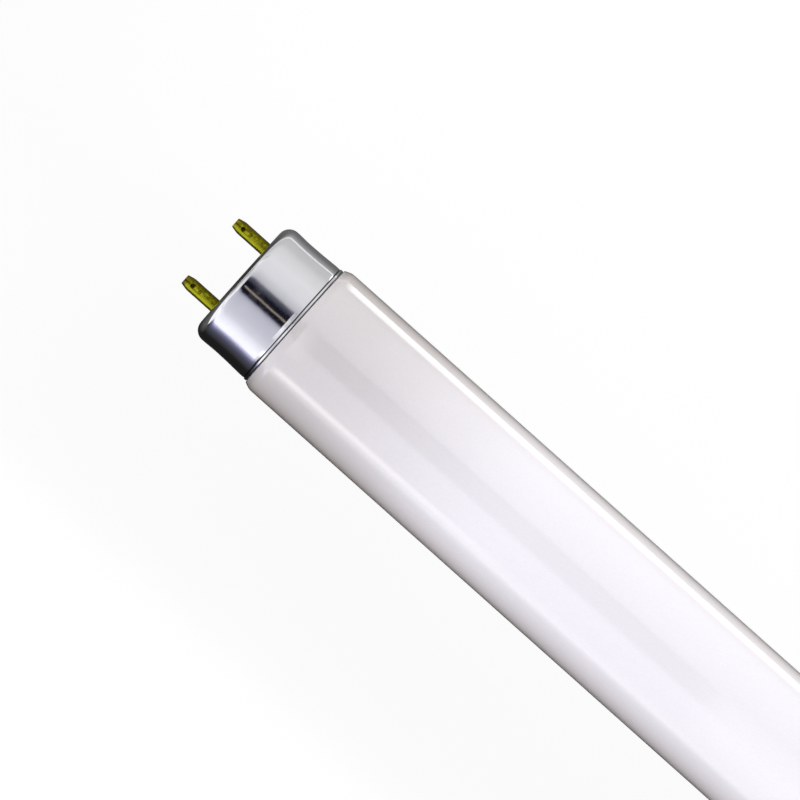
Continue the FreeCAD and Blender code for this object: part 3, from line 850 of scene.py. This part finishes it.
# The floor, and the tent over the lamp: white at the back and front, with a dark flag overhead. To
# the left and right of that flag the tent is light, and a wall closes its left end.
add_sheet("floor", [
    (-FLOOR_HALF, -FLOOR_HALF, -FLOOR_DEPTH), (FLOOR_HALF, -FLOOR_HALF, -FLOOR_DEPTH),
    (FLOOR_HALF, FLOOR_HALF, -FLOOR_DEPTH), (-FLOOR_HALF, FLOOR_HALF, -FLOOR_DEPTH),
], [(0, 1, 2, 3)], make_floor())
add_card("scrim_back", TENT_START, TENT_END, over_lamp([
    (-96.5, 0.66, 0), (-86, 0.76, 0), (-60, 0.87, 0.01), (-34, 0.81, 0.03), (-22, 0.66, 0.05),
]))
add_card("flag_above", FLAG_START, FLAG_END, over_lamp([
    (-22, 0.66, 0.05), (-18, 0.60, 0.06), (-16, 0.48, 0.08), (-14, 0.21, 0.13), (-12, 0.125, 0.22),
    (-8, 0.085, 0.35), (-4, 0.012, 0.6), (13, 0.012, 0.6), (15, 0.14, 0.3),
]))
add_card("scrim_front", FLAG_START, FLAG_END, over_lamp([
    (15, 0.14, 0.3), (17.5, 0.44, 0.15), (21, 0.59, 0.13), (26, 0.66, 0.12), (46, 0.75, 0.11),
    (58, 0.86, 0.10), (66, 1.04, 0.08), (74, 1.17, 0.06), (82, 1.22, 0.03), (90, 1.15, 0.04),
]))
for name, start, end in (("left", TENT_START, FLAG_START), ("right", FLAG_END, TENT_END)):
    add_card(f"window_{name}", start, end, over_lamp([
        (-22, 0.66, 0.05), (-12, 0.8, 0.02), (12, 0.8, 0.02), (22, 1.0, 0.02), (66, 1.05, 0.02),
        (90, 1.15, 0.02),
    ]))
add_card("wall_left", TENT_START, TENT_START, beside_lamp([
    (-WALL_HALF, BELOW, 0.3), (-WALL_HALF, 0.07, 0.5), (-WALL_HALF, 0.33, 0.9), (-WALL_HALF, 0.5, 1.1),
]), beside_lamp([
    (WALL_HALF, BELOW, 0.1), (WALL_HALF, 0.07, 0.2), (WALL_HALF, 0.33, 0.55), (WALL_HALF, 0.5, 0.75),
]))

# Small cards over the cap: a warm lath for the line in its dark band, and a window for the rim.
add_card("lath_above", CAP_CARD_START, GLASS_START, [
    (-0.0036, ABOVE, 0.02, 0.02, 0.02), (-0.0052, ABOVE, 0.33, 0.28, 0.22),
    (-0.0066, ABOVE, 0.33, 0.28, 0.22), (-0.0082, ABOVE, 0.02, 0.02, 0.02),
])
add_card("window_rim", WINDOW_START, WINDOW_END, beside_lamp([
    (0.021, OVER_RIM, 0.68), (0.013, OVER_RIM, 0.95), (0.0, OVER_RIM, 1.3), (-0.012, OVER_RIM, 1.4),
    (-0.03, OVER_RIM, 1.2), (-0.05, OVER_RIM, 0.95),
], tint=0.03), beside_lamp([
    (0.021, OVER_RIM, 0.62), (0.013, OVER_RIM, 0.1), (0.0, OVER_RIM, 0.02), (-0.012, OVER_RIM, 0.02),
    (-0.03, OVER_RIM, 0.66), (-0.05, OVER_RIM, 0.7),
], tint=0.1))

# Dark flags in front of the lamp and under it. Beyond the cap's end face those under it change to
# sections of their own, which the cap's corner and the pins mirror.
add_card("flag_front_cap", CAP_CARD_START, GLASS_START, beside_lamp([
    (FRONT, 0.0078, 1.05), (FRONT, 0.0040, 0.73), (FRONT, -0.0012, 0.28), (FRONT, -0.0102, 0.12),
    (FRONT, -0.019, 0.08), (FRONT, -0.025, 0.055),
], tint=0.32))
add_card("flag_front_glass", GLASS_START, TENT_END, beside_lamp([
    (FRONT, 0.021, 0.98), (FRONT, 0.016, 0.5), (FRONT, 0.011, 0.15), (FRONT, 0.004, 0.08),
    (FRONT, -0.019, 0.05), (FRONT, -0.025, 0.045),
]))
flag_low = beside_lamp([
    (FRONT, -0.025, 0.045), (FRONT, -0.038, 0.015), (-0.055, BELOW, 0.012), (0.0, BELOW, 0.02),
])
flag_low_end = beside_lamp([
    (FRONT, -0.025, 0.13), (FRONT, -0.038, 0.13), (-0.055, BELOW, 0.11), (0.0, BELOW, 0.035),
])
flag_below = beside_lamp([
    (0.0, BELOW, 0.02), (0.008, BELOW, 0.11), (0.050, BELOW, 0.17), (0.066, BELOW, 0.25),
    (0.085, BELOW, 0.36), (0.096, BELOW, 0.50), (0.135, BELOW, 0.6), (0.5, BELOW, 0.66),
])
flag_below_end = beside_lamp([
    (0.0, BELOW, 0.035), (0.008, BELOW, 0.035), (0.050, BELOW, 0.06), (0.066, BELOW, 0.15),
    (0.085, BELOW, 0.32), (0.096, BELOW, 0.49), (0.135, BELOW, 0.6), (0.5, BELOW, 0.66),
])
for name, bend, flag, flag_end in (
    ("flag_low", LOW_BEND, flag_low, flag_low_end), ("flag_below", BELOW_BEND, flag_below, flag_below_end),
):
    add_card(name, BEND_END, TENT_END, flag)
    add_card(f"{name}_bend", bend, BEND_END, flag_end, flag)
    add_card(f"{name}_end", CARD_START, bend, flag_end)


def strip_section(glow):
    """The section of the glass's back strip at a given brightness, dimmer along its upper edge."""
    return beside_lamp([
        (0.0612, -0.0274, glow), (0.066, -0.0155, glow), (0.0678, -0.0101, STRIP_EDGE * glow),
    ])


# Thin bright strips for the bright lines along cap and glass. Those of the glass fade in, so that
# the cap's rim doesn't mirror where they start, and fade out towards the lamp's far end.
add_card("strip_cap", CARD_START, GLASS_START, beside_lamp([(0.0599, -0.0288, 1.0), (0.062, -0.0247, 1.0)]))
for name, start, end, start_glow, end_glow in (
    ("start", GLASS_START, STRIP_START, 0.3, 2.5), ("near", STRIP_START, STRIP_BEND, 2.5, 1.8),
    ("far", STRIP_BEND, STRIP_END, 1.8, 1.2),
):
    add_card(f"strip_glass_{name}", start, end, strip_section(start_glow), strip_section(end_glow))
strip_bright = beside_lamp([
    (FRONT, 0.0225, 1.1), (FRONT, 0.029, 2.5), (FRONT, 0.033, 2.5), (FRONT, 0.042, 1.0),
])
strip_faint = beside_lamp([
    (FRONT, 0.0225, 1.0), (FRONT, 0.029, 1.1), (FRONT, 0.033, 1.1), (FRONT, 0.042, 1.0),
])
add_card("strip_front_start", GLASS_START, STRIP_START, strip_faint, strip_bright)
add_card("strip_front", STRIP_START, FRONT_STRIP_END, strip_bright, strip_faint)

# A small bright card over each pin, for the light line along it.
for name, across in ROWS.items():
    middle = across * PIN_SPACING / 2
    add_card(f"glint_{name}", GLINT_START, GLINT_END, beside_lamp([
        (middle - GLINT_HALF, OVER_PIN, 0.5), (middle - GLINT_PEAK, OVER_PIN, 1.3),
        (middle + GLINT_HALF, OVER_PIN, 0.2),
    ]))

# The soft lamps: where each stands and aims, how wide and high it is, and how bright.
for name, place, aim, width, height, brightness in (
    ("fill_left", (-0.75, 0.35, 0.45), (-0.2, 0, 0), 0.24, 0.4, 1.6),
    ("fill_back", (-0.1, 0.40, 0.80), (0, 0, 0), 1.0, 0.6, 3.05),
    ("fill_top", (-0.1, 0.0, 0.45), (-0.1, 0, 0), 0.9, 0.25, 0.68),
    ("fill_front", (-0.1, -0.35, 0.75), (0, 0, 0), 1.0, 0.6, 2.3),
):
    add_softbox(name, place, aim, width, height, brightness)

# The world is plain white to the camera, and a softer light to everything else.
SKY_GLOW = 0.62
SKY_SEEN = 1.0

world = bpy.data.worlds.new("studio")
world.use_nodes = True
bpy.context.scene.world = world
sky = world.node_tree
sky.nodes.clear()
strength = ranged(sky, add_node(sky, "LightPath").outputs["Is Camera Ray"], SKY_GLOW, SKY_SEEN)
finish_tree(sky, add_node(sky, "Background", {"Color": WHITE, "Strength": strength}), "World")

bpy.context.scene.view_settings.view_transform = "Standard"
